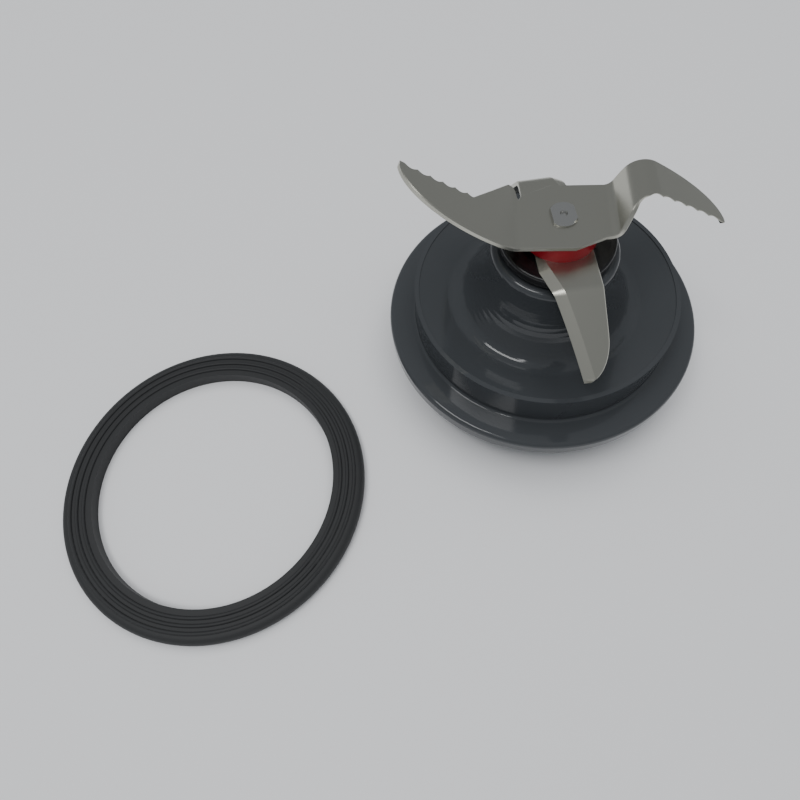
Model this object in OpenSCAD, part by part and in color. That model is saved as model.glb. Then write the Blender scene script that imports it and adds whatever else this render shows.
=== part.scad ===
// Blender blade assembly: a moulded base with a spindle that carries two bent blades,
// and the sealing ring that goes with it, which lies beside the base.
// Z is up, the origin is on the table under the spindle, and the blades turn about Z.
// Seen from above the blades turn clockwise.

/* [Base moulding] */
// Diameter of the seating flange
flange_d = 100; // [94:1:112]
// Height of the flange's upper face above the table
flange_top = 19.2; // [18:0.2:24]
// Height of the lip that turns down at the flange's rim
lip_h = 4.6; // [3.5:0.1:7]
// Radius that rounds the flange's upper edge
flange_round = 1.5; // [0.8:0.1:2]
// Wall thickness of the moulding
wall = 2.4; // [1.8:0.1:2.8]
// Diameter of the raised disc inside the sealing ring
disc_d = 82.6; // [80:0.2:86]
// Height of the disc's rim above the flange
disc_h = 12; // [10:0.2:16]
// Radius of the fillet between flange and disc
disc_fillet = 1; // [0.6:0.1:2]
// Width of the level land on the disc's rim
rim_land = 1.4; // [1:0.1:2.4]
// Slope of the dish inside the rim
dish_slope = 20; // [14:1:24]
// Height of the dome's top above the table
dome_top = 50.4; // [48:0.2:54]
// Diameter of the dome's neck
neck_d = 37.2; // [36:0.2:40]
// Radius that rounds the dome's shoulder
shoulder_round = 1.8; // [1:0.1:2.4]
// Depth from the dome's top to the start of its flare
neck_h = 3.4; // [2.6:0.1:5]
// Radius of the dome's hollow flare
flare_r = 28; // [24:0.5:30]
// How far the flare turns before the foot fillet
flare_turn = 40; // [36:1:44]
// Radius of the fillet at the dome's foot
foot_fillet = 5; // [3.6:0.1:6]

/* [Underside of the base] */
// Outer diameter of the locking skirt
skirt_d = 80; // [76:0.5:81]
// How far the locating spigot at the skirt's foot steps in
spigot_step = 0.6; // [0.3:0.1:1]
// Height of the locating spigot
spigot_h = 5; // [4:0.1:5]
// Number of bayonet lugs on the skirt
lug_n = 4; // [2:1:6]
// Width of a lug
lug_w = 9; // [6:0.5:14]
// How far a lug stands out from the skirt
lug_out = 2.2; // [1.2:0.1:3]
// Thickness of a lug
lug_t = 3; // [2:0.1:4]
// Height of a lug's lower face above the table
lug_z = 6; // [5:0.1:9]
// Number of ribs between the bearing boss and the dome
rib_n = 6; // [4:1:10]
// Thickness of a rib
rib_t = 1.8; // [1.2:0.1:2.4]
// Height of the bearing boss's lower face above the table
boss_z = 21; // [20:0.2:26]

/* [Bearing unit] */
// Outer diameter of the bearing sleeve
sleeve_d = 21; // [20:0.2:22]
// Diameter of the sleeve's head
sleeve_head_d = 30; // [28.5:0.2:31]
// Thickness of the sleeve's head
sleeve_head_h = 2; // [1.6:0.1:3]
// Height of the sleeve's lower end above the table
sleeve_z = 15.4; // [15:0.1:16]
// Outer diameter of each bush
bush_d = 15; // [14:0.2:16]
// Length of each bush
bush_l = 11; // [8:0.5:13]
// Diameter of the pocket for the shaft seal
seal_d = 18; // [17:0.2:18.6]
// Height of the shaft seal
seal_h = 3.4; // [2.6:0.1:4]
// Thickness of the plate that keeps the seal down
keeper_t = 0.8; // [0.5:0.1:1.2]
// Thickness of the sealing ring under the sleeve's head
o_ring_t = 1.6; // [1.2:0.1:1.8]
// Width across the flats of the sleeve's nut
sleeve_nut_w = 27; // [25:0.5:30]
// Thickness of the sleeve's nut
sleeve_nut_t = 4; // [3:0.2:5]

/* [Spindle] */
// Diameter of the spindle in its bushes
shaft_d = 10; // [9.4:0.1:11]
// Diameter of the tenon that carries the blades
tenon_d = 8.4; // [7.6:0.1:9]
// Width across the tenon's two flats
tenon_w = 6.5; // [5.6:0.1:7]
// Height of the peened head above the upper blade
head_h = 0.9; // [0.5:0.1:1.6]
// Diameter of the centre mark in the head
centre_d = 1.4; // [0.8:0.1:2]
// Diameter of the spindle's lower threaded end
stud_d = 6; // [5:0.5:7]
// Radial running clearance in the bushes
run_gap = 0.04; // [0.02:0.01:0.08]
// Axial gap between faces that run past each other
face_gap = 0.1; // [0.05:0.05:0.3]
// Thickness of the thrust washer on the keeper
upper_washer_t = 0.9; // [0.6:0.1:1.4]
// Thickness of the thrust washer under the lower bush
lower_washer_t = 0.8; // [0.6:0.1:1]
// Thickness of the steel washer on the clip
clip_washer_t = 0.6; // [0.4:0.1:0.8]
// Thickness of the retaining clip
clip_t = 0.8; // [0.6:0.1:1]
// Depth of the clip's groove
groove_depth = 0.9; // [0.6:0.1:1.2]

/* [Cap and spacer] */
// Diameter of the black cap on the dome
cap_d = 33; // [31:0.5:35]
// Height of the cap
cap_h = 3.5; // [3:0.1:4.5]
// Wall of the cap
cap_wall = 1.6; // [1.2:0.1:2]
// Diameter of the cap's boss round the tenon
cap_boss_d = 14; // [13:0.2:16]
// Radius that rounds the cap's lower edge
cap_round = 0.8; // [0.4:0.1:1]
// Gap between the cap and the dome's top
cap_gap = 0.6; // [0.4:0.1:1]
// Diameter of the red spacer between the blades
spacer_d = 21.6; // [18:0.2:22]
// Height of the red spacer
spacer_h = 5; // [4:0.1:7]

/* [Upper blade] */
// Thickness of the steel sheet of both blades
sheet_t = 1.5; // [1.2:0.1:2]
// Angle by which the upper blade's bend lines lean
upper_lean = 8.5; // [4:0.5:12]
// Distance from the axis to the upper blade's bend lines
upper_reach = 12; // [11.4:0.1:13]
// Half width of the upper blade at its bends
upper_half_w = 11.1; // [10.8:0.1:12]
// Length of each upper arm along the sheet
upper_arm_l = 36.2; // [35:0.2:40]
// Rise of the plain arm
plain_rise = 30; // [24:1:36]
// Inner radius of the plain arm's bend
plain_bend_r = 3.3; // [2:0.1:4]
// Rise of the crested arm before its crest
crest_rise = 64; // [56:1:70]
// Fall of the crested arm beyond its crest
crest_fall = 24.5; // [18:0.5:30]
// Inner radius of the crested arm's first bend
crest_bend_r = 2.5; // [2:0.1:4]
// Straight length between the first bend and the crest
crest_run = 4.2; // [3:0.1:6]
// Radius over the crest
crest_r = 5.7; // [5:0.1:7]
// Distance along the sheet from the bend to where an upper arm's back starts to curve
back_start = 6; // [4:0.5:10]
// How far the arm's back swells beyond the plate
back_swell = 0.8; // [0:0.1:1.4]
// How far the tip lies in front of the arm's middle line
tip_side = 3; // [2.6:0.1:3.6]
// How far the toothed edge lies in front of the middle line where it starts
edge_side = 1.3; // [0.6:0.1:2]
// How far the toothed edge draws forward on its way to the tip
edge_drop = 1.4; // [0.8:0.1:1.6]
// Number of hollows between the teeth of each upper arm
hollow_n = 6; // [3:1:6]
// Distance from one tooth to the next
tooth_pitch = 3.7; // [3.2:0.1:3.9]
// Depth of the hollow between two teeth
tooth_depth = 0.7; // [0.4:0.05:1]
// Distance along the sheet from the bend to the first hollow
tooth_start = 12.4; // [12:0.1:13]
// Width of the bevel ground under the teeth
upper_bevel = 2.4; // [1.6:0.1:3]

/* [Lower blade] */
// Distance from the axis to the lower blade's bend lines
lower_reach = 18.8; // [18:0.1:20]
// Half width of the lower blade
lower_half_w = 8.1; // [7.8:0.1:9]
// Length of each lower arm along the sheet
lower_arm_l = 26.4; // [25:0.2:28]
// Distance from the bend back to the corner where the cutting edge starts
corner_back = 6.7; // [5:0.1:8]
// How much the cutting edge bows forward, as a part of its own slant
edge_bow = 0.27; // [0:0.01:0.4]
// Half width of the arm at its bend, on the side of its back
back_w = 7.5; // [7:0.1:8]
// Distance along the sheet from the bend to where the arm's back starts to curve
round_start = 14; // [10:0.5:18]
// Fall of the front arm
front_fall = 30; // [24:1:34]
// Fall of the rear arm
rear_fall = 52; // [46:1:54]
// Outer radius of the lower blade's bends
lower_bend_r = 4.5; // [3.5:0.1:5.5]
// Width of the bevel ground on the lower blade's upper face
lower_bevel = 2.9; // [2:0.1:3.4]
// Thickness left at every cutting edge
edge_t = 0.3; // [0.2:0.05:0.5]
// Broken edge along the back of each blade
burr = 0.25; // [0.1:0.05:0.4]

/* [Drive coupling] */
// Diameter over the coupling's lobes
coupling_d = 27; // [24:0.5:32]
// Number of lobes
lobe_n = 6; // [4:1:8]
// Height of the coupling
coupling_h = 9.5; // [8:0.1:10]
// Diameter of the coupling's core
core_d = 16; // [15:0.2:18]
// Width of a lobe
lobe_w = 4.4; // [3:0.1:5]
// Diameter of the metal insert in the coupling
insert_d = 11; // [10:0.2:13]
// Depth of the nut's recess in the insert
insert_sink = 3.4; // [3:0.1:4]
// Width across the flats of the lock nut
lock_nut_w = 10; // [9:0.2:10.4]
// Thickness of the lock nut
lock_nut_t = 3; // [2.4:0.1:3.4]

/* [Sealing ring] */
// Outer diameter of the sealing ring
ring_d = 99; // [96:0.5:104]
// Inner diameter of the sealing ring
ring_bore = 79; // [76:0.5:82]
// Thickness of the sealing ring
ring_t = 5.4; // [4:0.1:7]
// Number of sealing ribs on the ring
ring_rib_n = 3; // [2:1:4]
// Height of a sealing rib
ring_rib_h = 0.6; // [0.3:0.1:1]
// Width of a sealing rib
ring_rib_w = 1.2; // [0.8:0.1:1.4]
// Place of the ring to the left of the spindle
ring_x = -114; // [-130:1:-106]
// Place of the ring in front of the spindle
ring_y = -41.3; // [-50:0.1:-30]

/* [Hidden] */
$fn = 96;
// Fine steps for an arc in a profile
arc_steps = 12;
// A cut runs past the faces that it goes through by this much
past = 1;

// Base levels and radii
disc_top = flange_top + disc_h;
disc_r = disc_d / 2;
flange_r = flange_d / 2;
skirt_r = skirt_d / 2;
spigot_r = skirt_r - spigot_step;
lip_z = flange_top - lip_h;
neck_r = neck_d / 2;
sleeve_r = sleeve_d / 2;
boss_r = sleeve_r + wall;
flare_top = dome_top - neck_h;
foot_turn = 90 + dish_slope;
flare_centre = [neck_r + flare_r, flare_top];
foot_centre = flare_centre + (flare_r - foot_fillet) * [-cos(flare_turn), -sin(flare_turn)];
foot_end = foot_centre + foot_fillet * [-cos(foot_turn), -sin(foot_turn)];
crest_in = disc_r - rim_land;

// Levels on the axis, from the dome's top upwards
head_seat = dome_top - sleeve_head_h;
seal_floor = dome_top - keeper_t - seal_h;
washer_z = dome_top + face_gap;
shoulder_z = washer_z + upper_washer_t;
cap_z = dome_top + cap_gap;
cap_top = cap_z + cap_h;
lower_top = cap_top + sheet_t;
upper_under = lower_top + spacer_h;
upper_top = upper_under + sheet_t;
head_top = upper_top + head_h;

// Levels on the axis, from the sleeve's lower end downwards
lower_washer_top = sleeve_z - face_gap;
clip_washer_top = lower_washer_top - lower_washer_t;
clip_top = clip_washer_top - clip_washer_t;
clip_z = clip_top - clip_t;
coupling_top = clip_z - 2 * face_gap;
coupling_z = coupling_top - coupling_h;
insert_floor = coupling_z + insert_sink;
lock_nut_z = insert_floor - lock_nut_t;
shaft_r = shaft_d / 2;
washer_r = bush_d / 2 - face_gap;

// Points on an arc round a centre, from one angle to another
function arc(centre, r, from, to, steps = arc_steps) =
    [for (i = [0 : steps]) let (a = from + (to - from) * i / steps) centre + r * [cos(a), sin(a)]];

// The dome and dish as a line, moved inwards by a wall's thickness
function dome_line(t = 0) = concat(
    arc(flare_centre, flare_r + t, 180, 180 + flare_turn),
    arc(foot_centre, foot_fillet + t, 180 + flare_turn, 180 + foot_turn),
    [foot_end + (crest_in - foot_end.x) / cos(dish_slope) * [cos(dish_slope), sin(dish_slope)]
        + t * [sin(dish_slope), -cos(dish_slope)]]);

module ring_of(n, turn = 0) {
    for (i = [0 : n - 1]) rotate([0, 0, turn + i * 360 / n]) children();
}

module tube(z, h, r, bore) {
    translate([0, 0, z]) difference() {
        cylinder(h = h, r = r);
        translate([0, 0, -past]) cylinder(h = h + 2 * past, r = bore);
    }
}

module hex_nut(z, h, w, bore) {
    translate([0, 0, z]) difference() {
        intersection() {
            cylinder(h = h, d = w / cos(30), $fn = 6);
            cylinder(h = h, d = w * 1.1);
        }
        translate([0, 0, -past]) cylinder(h = h + 2 * past, r = bore);
    }
}

// The tenon's section, a round with two flats, grown by a clearance
module double_flat(z, h, grow = 0) {
    translate([0, 0, z]) intersection() {
        cylinder(h = h, d = tenon_d + 2 * grow);
        translate([-tenon_w / 2 - grow, -tenon_d, 0]) cube([tenon_w + 2 * grow, 2 * tenon_d, h]);
    }
}

// Run along the upper face and turn of a bend
function bend(r, turn) = [r * abs(turn) * PI / 180, turn];

// Place and slope on the upper face of an arm, s along the sheet from its first bend
function place(s, folds, i = 0, at = [0, 0], slope = 0) =
    s <= 0 || i == len(folds) ? [at.x + s * cos(slope), at.y + s * sin(slope), slope] :
    let (run = min(s, folds[i][0]), turn = folds[i][1] * run / folds[i][0],
        chord = turn == 0 ? run : run * sin(turn / 2) / (turn * PI / 360))
    place(s - run, folds, i + 1, at + chord * [cos(slope + turn / 2), sin(slope + turn / 2)], slope + turn);

function clamp(v) = min(1, max(0, v));
function mix(a, b, k) = a + (b - a) * k;

// Quarter of an ellipse that closes an arm's back at its tip
function closing(s, from, l, h) = h * sqrt(max(0, 1 - pow((s - from) / (l - from), 2)));

// An arm's section as points across the sheet and below its upper face.
// The cutting edge is [setback below, lower end, upper end, setback above].
function section(front, back, edge) = let (room = back - front - 2 * burr) [
    [back - burr, 0], [back, burr], [back, sheet_t - burr], [back - burr, sheet_t],
    [front + min(edge[0], room), sheet_t], [front, edge[1]], [front, edge[2]],
    [front + min(edge[3], room), 0]];
plain_edge = [burr, sheet_t - burr, burr, burr];
under_edge = [upper_bevel, edge_t, edge_t / 2, edge_t / 2];
over_edge = [edge_t / 2, sheet_t - edge_t / 2, sheet_t - edge_t, lower_bevel];

// One ring of points of an arm, in the blade's own frame
function arm_ring(s, reach, top, folds, outline) =
    let (p = place(s, folds))
    [for (q = outline) [reach + p.x + q.y * sin(p[2]), q.x, top + p.y - q.y * cos(p[2])]];

// The other arm's ring is turned half round and runs the other way
function half_turn(ring) = [for (i = [len(ring) - 1 : -1 : 0]) [-ring[i].x, -ring[i].y, ring[i].z]];

// A closed skin over rings with the same number of points
module skin(rings) {
    n = len(rings[0]);
    last = len(rings) - 1;
    sides = [for (i = [0 : last - 1], j = [0 : n - 1]) let (k = (j + 1) % n, a = i * n, b = a + n)
        each [[a + j, b + k, b + j], [a + j, a + k, b + k]]];
    ends = [[for (j = [n - 1 : -1 : 0]) j], [for (j = [0 : n - 1]) last * n + j]];
    polyhedron(points = [for (r = rings) each r], faces = concat(sides, ends), convexity = 8);
}

// Stations along a toothed arm, with one on each tooth
tooth_steps = 9;
tip_l = upper_arm_l - 0.2;
function upper_stations() =
    let (step = tooth_pitch / tooth_steps, back = floor((tooth_start + upper_reach) / step))
    concat([-upper_reach], [for (i = [-back + 1 : 400]) let (s = tooth_start + i * step)
        if (s < tip_l - 0.1) s], [tip_l]);

// Outline of the upper arms
function toothed(s) = let (k = (s - tooth_start) / tooth_pitch)
    -edge_side - edge_drop * pow(max(0, s - tooth_start) / (upper_arm_l - tooth_start), 2)
    + (k > 0 && k < hollow_n ? tooth_depth * abs(sin(180 * k)) : 0);
function upper_front(s, root) = s < 0 ? lookup(s, root) : min(lookup(s, root), toothed(s));
function upper_back(s) = upper_half_w + back_swell * sin(90 * clamp(s / back_start))
    + (s < back_start ? 0 : closing(s, back_start, upper_arm_l, upper_half_w + back_swell + tip_side)
        - (upper_half_w + back_swell + tip_side));
function upper_ring(s, folds, root) = arm_ring(s, upper_reach, upper_top, folds,
    section(upper_front(s, root), upper_back(s),
        mix(plain_edge, under_edge, clamp((s - tooth_start + 4) / 4))));

// Root of each upper arm as points along and across the sheet
shared_root = [[-9.4, -upper_half_w], [-1.1, -upper_half_w + 3.7]];
plain_root = concat(shared_root, [[-0.1, -5.4], [0.3, -8.8], [1, -10.5], [2.4, -11], [14.4, -0.4]]);
crest_root = concat(shared_root, [[1.9, -7.1], [7.4, -3.7], [9.5, -2], [14, 0]]);
plain_folds = [bend(plain_bend_r, plain_rise)];
crest_folds = [bend(crest_bend_r, crest_rise), [crest_run, 0], bend(crest_r, -crest_rise - crest_fall)];

// Outline of the lower arms
function slant(s) = let (t = (s + corner_back) / (lower_arm_l + corner_back))
    -lower_half_w + (lower_half_w - 0.2) * t * (1 + edge_bow * (1 - t));
function lower_back(s) = mix(lower_half_w, back_w, clamp(1 + s / lower_reach))
    * (s < round_start ? 1 : closing(s, round_start, lower_arm_l, 1));
function lower_ring(s, folds) = let (front = max(-lower_half_w, slant(s)),
        ground = s < -corner_back * 2 ? 0 : clamp((slant(s) + lower_bevel - front) / lower_bevel))
    arm_ring(s, lower_reach, lower_top, folds, section(front, lower_back(s),
        mix(plain_edge, over_edge, ground)));
front_folds = [bend(lower_bend_r, -front_fall)];
rear_folds = [bend(lower_bend_r, -rear_fall)];

// Stations along a lower arm, closer together in its bend and at its tip
function lower_stations(folds) = concat(
    [-lower_reach, -2 * corner_back], [for (i = [8 : -1 : 1]) -corner_back * i / 6],
    [for (i = [0 : 10]) folds[0][0] * i / 10],
    [for (i = [1 : 4]) mix(folds[0][0], round_start, i / 4)],
    [for (i = [1 : 12]) mix(round_start, lower_arm_l - 0.2, sin(90 * i / 12))]);

module base_outside() {
    rotate_extrude() polygon(concat(
        [[0, 0], [spigot_r, 0], [spigot_r, spigot_h], [skirt_r, spigot_h], [skirt_r, flange_top - wall],
            [flange_r - wall, flange_top - wall], [flange_r - wall, lip_z], [flange_r, lip_z]],
        arc([flange_r - flange_round, flange_top - flange_round], flange_round, 0, 90),
        arc([disc_r + disc_fillet, flange_top + disc_fillet], disc_fillet, 270, 180),
        [[disc_r, disc_top], [crest_in, disc_top]],
        [for (i = [len(dome_line()) - 1 : -1 : 0]) dome_line()[i]],
        arc([neck_r - shoulder_round, dome_top - shoulder_round], shoulder_round, 0, 90),
        [[0, dome_top]]));
}

// Space inside the moulding, open at the bottom
roof_z = head_seat - o_ring_t - wall;
module base_inside(floor_z) {
    intersection() {
        rotate_extrude() polygon(concat([[0, flare_top]], dome_line(wall), [[disc_r, -past], [0, -past]]));
        translate([0, 0, floor_z]) cylinder(h = roof_z - floor_z, r = skirt_r - wall);
    }
}

module base_rib() {
    translate([boss_r - wall / 2, -rib_t / 2, boss_z]) cube([skirt_r, rib_t, roof_z]);
}

module lug() {
    intersection() {
        tube(lug_z, lug_t, skirt_r + lug_out, skirt_r - wall / 2);
        translate([skirt_r - wall, -lug_w / 2, 0]) cube([2 * wall + lug_out, lug_w, flange_top]);
    }
}

module base() {
    color("#3a3c3f") difference() {
        union() {
            difference() {
                base_outside();
                base_inside(-past);
            }
            translate([0, 0, boss_z]) cylinder(h = roof_z - boss_z + past, r = boss_r);
            intersection() {
                base_inside(boss_z);
                ring_of(rib_n) base_rib();
            }
            ring_of(lug_n, 45) lug();
        }
        cylinder(h = dome_top, r = sleeve_r);
        translate([0, 0, head_seat]) cylinder(h = sleeve_head_h + past, d = sleeve_head_d);
        tube(head_seat - o_ring_t, o_ring_t + past, boss_r + o_ring_t / 2, boss_r - o_ring_t / 2);
    }
}

module bearing_sleeve() {
    color("#b9bbbd") difference() {
        union() {
            translate([0, 0, sleeve_z]) cylinder(h = dome_top - sleeve_z, r = sleeve_r);
            translate([0, 0, head_seat]) cylinder(h = sleeve_head_h, d = sleeve_head_d);
        }
        translate([0, 0, sleeve_z - past]) cylinder(h = dome_top, d = bush_d);
        translate([0, 0, seal_floor]) cylinder(h = dome_top, d = seal_d);
    }
}

module sleeve_o_ring() {
    color("#1c1c1c") translate([0, 0, head_seat - o_ring_t / 2])
        rotate_extrude() translate([boss_r, 0]) circle(d = o_ring_t, $fn = 32);
}

module sleeve_nut() {
    color("#a9abad") hex_nut(boss_z - sleeve_nut_t, sleeve_nut_t, sleeve_nut_w, sleeve_r);
}

module bush(z) {
    tube(z, bush_l, bush_d / 2, shaft_r + run_gap);
}

module upper_bush() {
    color("#8c6b3f") bush(seal_floor - bush_l);
}

module lower_bush() {
    color("#8c6b3f") bush(sleeve_z);
}

// Lip seal: a collar, a web and a lip that leans on the spindle
module shaft_seal() {
    lip = shaft_r + run_gap;
    color("#202020") translate([0, 0, seal_floor]) rotate_extrude() polygon([
        [lip + seal_h / 4, 0], [seal_d / 2, 0], [seal_d / 2, seal_h], [seal_d / 2 - seal_h / 4, seal_h],
        [seal_d / 2 - seal_h / 4, seal_h / 4], [lip + seal_h / 2, seal_h / 4],
        [lip + seal_h / 4, seal_h * 0.8], [lip, seal_h * 0.8], [lip, seal_h * 0.7]]);
}

module seal_keeper() {
    color("#c4c6c8") tube(dome_top - keeper_t, keeper_t, seal_d / 2, shaft_r + 2 * face_gap);
}

module spindle() {
    color("#c8cacc") difference() {
        union() {
            translate([0, 0, coupling_top]) cylinder(h = shoulder_z - coupling_top, r = shaft_r);
            intersection() {
                double_flat(shoulder_z - past, head_top - shoulder_z + past);
                translate([0, 0, shoulder_z - past]) cylinder(h = head_top - shoulder_z + past, r1 = tenon_d * 1.5,
                    r2 = tenon_d / 2 - head_h / 3, $fn = 96);
            }
            translate([0, 0, lock_nut_z]) cylinder(h = coupling_top - lock_nut_z + past, d = stud_d);
        }
        tube(clip_z, clip_t, shaft_r + past, shaft_r - groove_depth);
        translate([0, 0, head_top]) cylinder(h = centre_d, d1 = centre_d, d2 = 2 * centre_d, center = true);
    }
}

module upper_thrust_washer() {
    color("#e8e6df") tube(washer_z, upper_washer_t, washer_r, shaft_r);
}

module lower_thrust_washer() {
    color("#e8e6df") tube(clip_washer_top, lower_washer_t, washer_r, shaft_r);
}

module clip_washer() {
    color("#b8babc") tube(clip_top, clip_washer_t, washer_r, shaft_r);
}

module retaining_clip() {
    color("#7d8084") difference() {
        tube(clip_z, clip_t, washer_r, shaft_r - groove_depth);
        translate([0, -shaft_r / 2, clip_z - past]) cube([bush_d, shaft_r, clip_t + 2 * past]);
    }
}

module cap() {
    r = cap_d / 2;
    color("#131314") difference() {
        translate([0, 0, cap_z]) rotate_extrude() polygon(concat(
            [[0, shoulder_z - cap_z], [cap_boss_d / 2, shoulder_z - cap_z], [cap_boss_d / 2, cap_h - cap_wall],
                [r - cap_wall, cap_h - cap_wall], [r - cap_wall, 0]],
            arc([r - cap_round, cap_round], cap_round, 270, 360),
            arc([r - cap_round, cap_h - cap_round], cap_round, 0, 90),
            [[0, cap_h]]));
        double_flat(cap_z, cap_h + past);
    }
}

module spacer() {
    color("#9c1f2b") difference() {
        translate([0, 0, lower_top]) cylinder(h = spacer_h, d = spacer_d);
        double_flat(lower_top - past, spacer_h + 2 * past);
    }
}

module upper_blade() {
    s = upper_stations();
    color("#9b9b92") difference() {
        rotate([0, 0, -upper_lean]) skin(concat(
            [for (i = [len(s) - 1 : -1 : 0]) half_turn(upper_ring(s[i], plain_folds, plain_root))],
            [for (i = [1 : len(s) - 1]) upper_ring(s[i], crest_folds, crest_root)]));
        double_flat(upper_under - past, sheet_t + 2 * past);
    }
}

module lower_blade() {
    front = lower_stations(front_folds);
    rear = lower_stations(rear_folds);
    color("#97978e") difference() {
        rotate([0, 0, -90]) skin(concat(
            [for (i = [len(rear) - 1 : -1 : 0]) half_turn(lower_ring(rear[i], rear_folds))],
            [for (i = [1 : len(front) - 1]) lower_ring(front[i], front_folds)]));
        double_flat(cap_top - past, sheet_t + 2 * past);
    }
}

module drive_coupling() {
    color("#1a1a1b") difference() {
        union() {
            translate([0, 0, coupling_z]) cylinder(h = coupling_h, d = core_d);
            intersection() {
                translate([0, 0, coupling_z]) cylinder(h = coupling_h, d = coupling_d);
                ring_of(lobe_n) translate([core_d / 3, -lobe_w / 2, coupling_z - past])
                    cube([coupling_d / 2, lobe_w, coupling_h + 2 * past]);
            }
        }
        translate([0, 0, coupling_z - past]) cylinder(h = coupling_h + 2 * past, d = insert_d);
        translate([0, 0, coupling_z - past]) cylinder(h = insert_sink + past, d = lock_nut_w / cos(30) + 0.6);
    }
}

module coupling_insert() {
    color("#b08d4f") tube(insert_floor, coupling_top - insert_floor, insert_d / 2, stud_d / 2);
}

module lock_nut() {
    color("#b4b6b8") hex_nut(lock_nut_z, lock_nut_t, lock_nut_w, stud_d / 2);
}

module sealing_ring() {
    r = ring_d / 2;
    bore = ring_bore / 2;
    body_t = ring_t - ring_rib_h;
    step = (r - bore) / (ring_rib_n + 1.6);
    color("#2a2b2b") translate([ring_x, ring_y, 0]) rotate_extrude() union() {
        translate([bore, 0]) square([r - bore - body_t / 2, body_t]);
        translate([r - body_t / 2, body_t / 2]) circle(d = body_t, $fn = 48);
        for (i = [1 : ring_rib_n]) translate([bore + i * step + 0.3, body_t - ring_rib_w / 2 + ring_rib_h])
            circle(d = ring_rib_w, $fn = 32);
    }
}

base();
bearing_sleeve();
sleeve_o_ring();
sleeve_nut();
upper_bush();
lower_bush();
shaft_seal();
seal_keeper();
spindle();
upper_thrust_washer();
lower_thrust_washer();
clip_washer();
retaining_clip();
cap();
lower_blade();
spacer();
upper_blade();
drive_coupling();
coupling_insert();
lock_nut();
sealing_ring();
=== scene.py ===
"""Looks of a blender blade assembly: a glossy grey base, a black cap, bent steel blades, a red
spacer and the rubber sealing ring that lies beside the base. The camera's place is in
millimetres, and the lights and the table are in metres."""
import math

import bpy
from mathutils import Matrix, Vector

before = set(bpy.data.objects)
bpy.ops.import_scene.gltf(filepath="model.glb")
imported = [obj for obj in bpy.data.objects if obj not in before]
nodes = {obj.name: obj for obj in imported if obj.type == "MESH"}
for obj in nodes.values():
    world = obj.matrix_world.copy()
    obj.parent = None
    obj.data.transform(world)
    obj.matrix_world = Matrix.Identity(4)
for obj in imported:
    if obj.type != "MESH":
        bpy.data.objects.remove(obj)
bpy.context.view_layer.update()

# Camera: its place in mm, how far it looks down and how far it leans
MM = 0.001
CAMERA_PLACE = (-50.1, -112.3, 191.6)
LOOKS_DOWN = 63.83
LEANS = -7.3
LENS = 27.5625
SENSOR = 36
NEAREST = 0.01

# Table: side in m
TABLE_SIDE = 6

# Lights: place, size in m and power in W
SKY_PLACE, SKY_SIZE, SKY_POWER = (0, 0.2, 1.6), (2.2, 2.2), 24
LAMP_PLACE, LAMP_SIZE, LAMP_POWER = (-0.5, -0.3, 1.5), (0.9, 0.3), 6
ROOM_COLOUR, ROOM_STRENGTH = "#b9bcc0", 0.55


def colour(code):
    """Linear RGBA of an sRGB hex colour."""
    parts = [int(code[i:i + 2], 16) / 255 for i in (1, 3, 5)]
    return [c / 12.92 if c <= 0.04045 else ((c + 0.055) / 1.055) ** 2.4 for c in parts] + [1]


def finish_of(name, code, roughness, metallic=0):
    """A material with one colour, roughness and metallic value, set on the shader's own sockets."""
    made = bpy.data.materials.new(name)
    made.use_nodes = True
    shader = made.node_tree.nodes["Principled BSDF"]
    shader.inputs["Base Color"].default_value = colour(code)
    shader.inputs["Roughness"].default_value = roughness
    shader.inputs["Metallic"].default_value = metallic
    return made


def dress(finish, *names):
    """Gives CAD nodes one finish all over."""
    for name in names:
        nodes[name].data.materials.clear()
        nodes[name].data.materials.append(finish)


# Moulded in a polished tool, so the grey ABS mirrors the lamp
dress(finish_of("polished_moulded_abs", "#3d4043", 0.08), "base")
# Moulded in a plainer tool, so the black nylon has a softer gloss
dress(finish_of("moulded_black_nylon", "#151516", 0.25), "cap")
dress(finish_of("moulded_red_nylon", "#a01322", 0.25), "spacer")
# Rolled sheet, whose fine rolling lines blur what it mirrors
dress(finish_of("rolled_stainless_sheet", "#c4c3b8", 0.3, metallic=1), "upper_blade", "lower_blade")
# Rubber from a sandblasted mould, nearly matt
dress(finish_of("moulded_nitrile_rubber", "#2c2d2e", 0.6), "sealing_ring")
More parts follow.
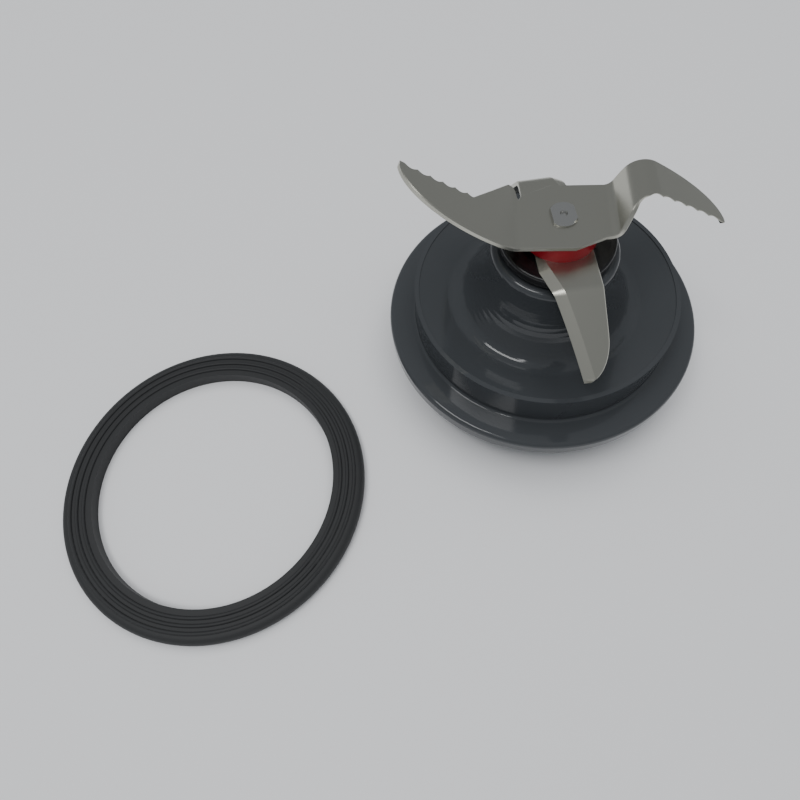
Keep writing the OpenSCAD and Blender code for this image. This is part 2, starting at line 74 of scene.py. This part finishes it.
# Turned bar, which also stands for the small pieces inside the base
INSIDE = sorted(set(nodes) - {"base", "cap", "spacer", "upper_blade", "lower_blade", "sealing_ring"})
dress(finish_of("turned_stainless_bar", "#c9c9c6", 0.25, metallic=1), *INSIDE)


def make_table():
    """A pale table under the object."""
    bpy.ops.mesh.primitive_plane_add(size=TABLE_SIDE, location=(0, 0, 0))
    table = bpy.context.object
    table.name = "table"
    table.data.materials.append(finish_of("white_laminate_table", "#e9eaec", 0.6))


def make_camera():
    """The camera at the photograph's viewing angle."""
    camera = bpy.data.objects.new("camera", bpy.data.cameras.new("camera"))
    bpy.context.collection.objects.link(camera)
    camera.data.sensor_width = SENSOR
    camera.data.lens = LENS
    camera.data.clip_start = NEAREST
    down, lean = math.radians(LOOKS_DOWN), math.radians(LEANS)
    ahead = Vector((0, math.cos(down), -math.sin(down)))
    level = Vector((1, 0, 0))
    above = level.cross(ahead)
    right = math.cos(lean) * level + math.sin(lean) * above
    top = -math.sin(lean) * level + math.cos(lean) * above
    turn = Matrix((right, top, -ahead)).transposed().to_4x4()
    camera.matrix_world = Matrix.Translation(Vector(CAMERA_PLACE) * MM) @ turn
    bpy.context.scene.camera = camera


def make_lamp(name, place, size, power, mirrored):
    """A rectangular lamp that points at the origin. One that isn't mirrored shows in no gloss."""
    lamp = bpy.data.lights.new(name, "AREA")
    lamp.shape = "RECTANGLE"
    lamp.size, lamp.size_y = size
    lamp.energy = power
    holder = bpy.data.objects.new(name, lamp)
    bpy.context.collection.objects.link(holder)
    holder.location = place
    holder.rotation_euler = (-Vector(place)).to_track_quat("-Z", "Y").to_euler()
    holder.visible_glossy = mirrored


def make_room():
    """An even grey room round the table."""
    world = bpy.data.worlds.new("room")
    bpy.context.scene.world = world
    world.use_nodes = True
    background = world.node_tree.nodes["Background"]
    background.inputs["Color"].default_value = colour(ROOM_COLOUR)
    background.inputs["Strength"].default_value = ROOM_STRENGTH


make_table()
make_camera()
make_lamp("soft_sky", SKY_PLACE, SKY_SIZE, SKY_POWER, mirrored=False)
make_lamp("ceiling_light", LAMP_PLACE, LAMP_SIZE, LAMP_POWER, mirrored=True)
make_room()
